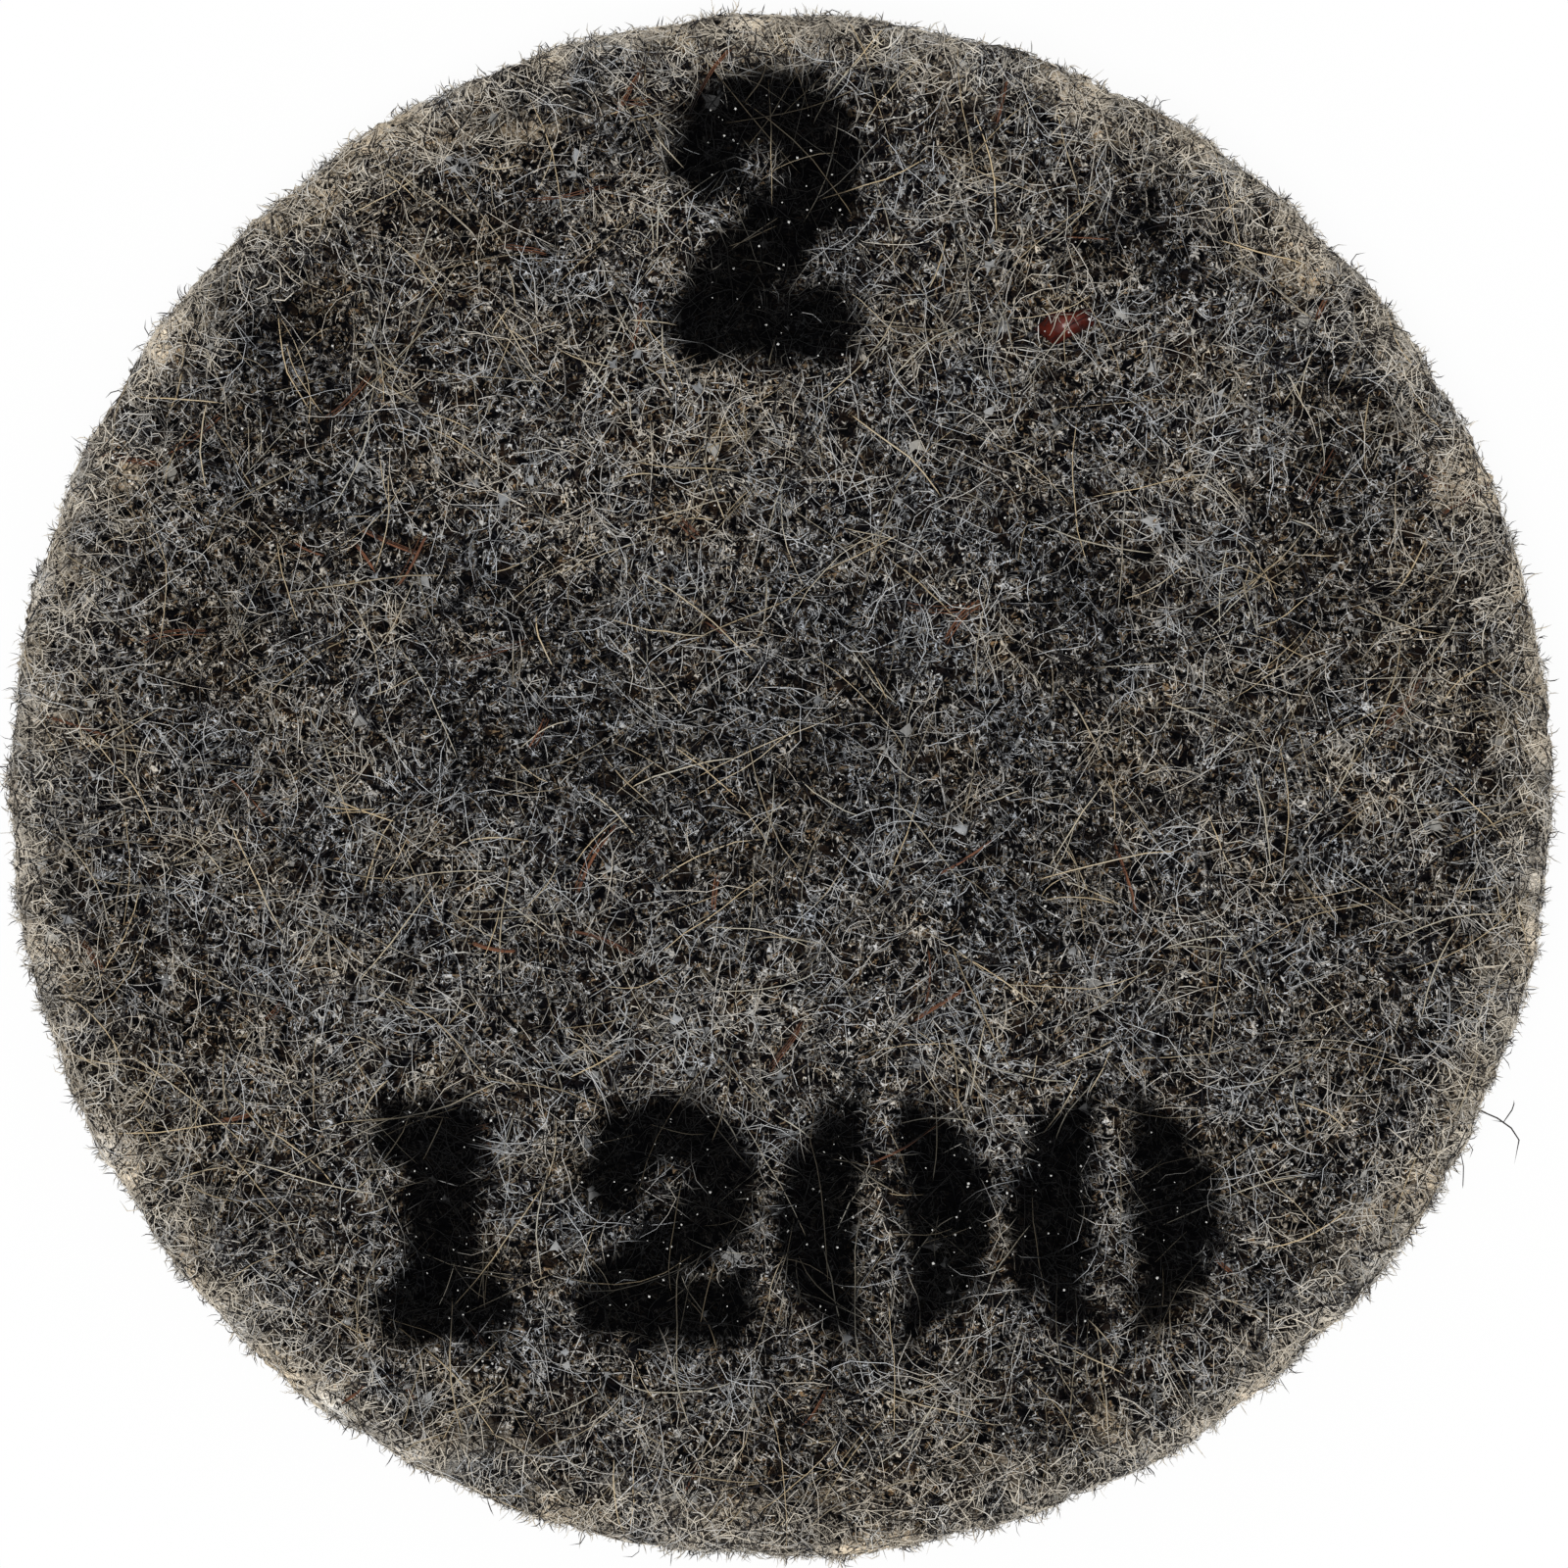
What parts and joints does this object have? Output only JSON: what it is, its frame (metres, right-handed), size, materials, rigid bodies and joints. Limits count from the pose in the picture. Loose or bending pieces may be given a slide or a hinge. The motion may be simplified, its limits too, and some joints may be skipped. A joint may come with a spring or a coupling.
{
  "type": "non-woven abrasive disc",
  "caption": "Round lofty non-woven abrasive pad of matted crimped fibres, with a flat back that grips a hook-faced sanding pad and a matted working face.",
  "frame": {"origin": "middle of the flat back face, on the disc's axis", "axes": "+Z along the disc's axis, out of the working face; +Y towards the top of the number on the face"},
  "size_m": [0.0754, 0.0753, 0.0076],
  "materials": {
    "web": "matt, lofty web of dark grey resin-bonded fibres with pale and tan fibres among them"
  },
  "bodies": {
    "root": {"abrasive_disc": "web"}
  },
  "joints": []
}
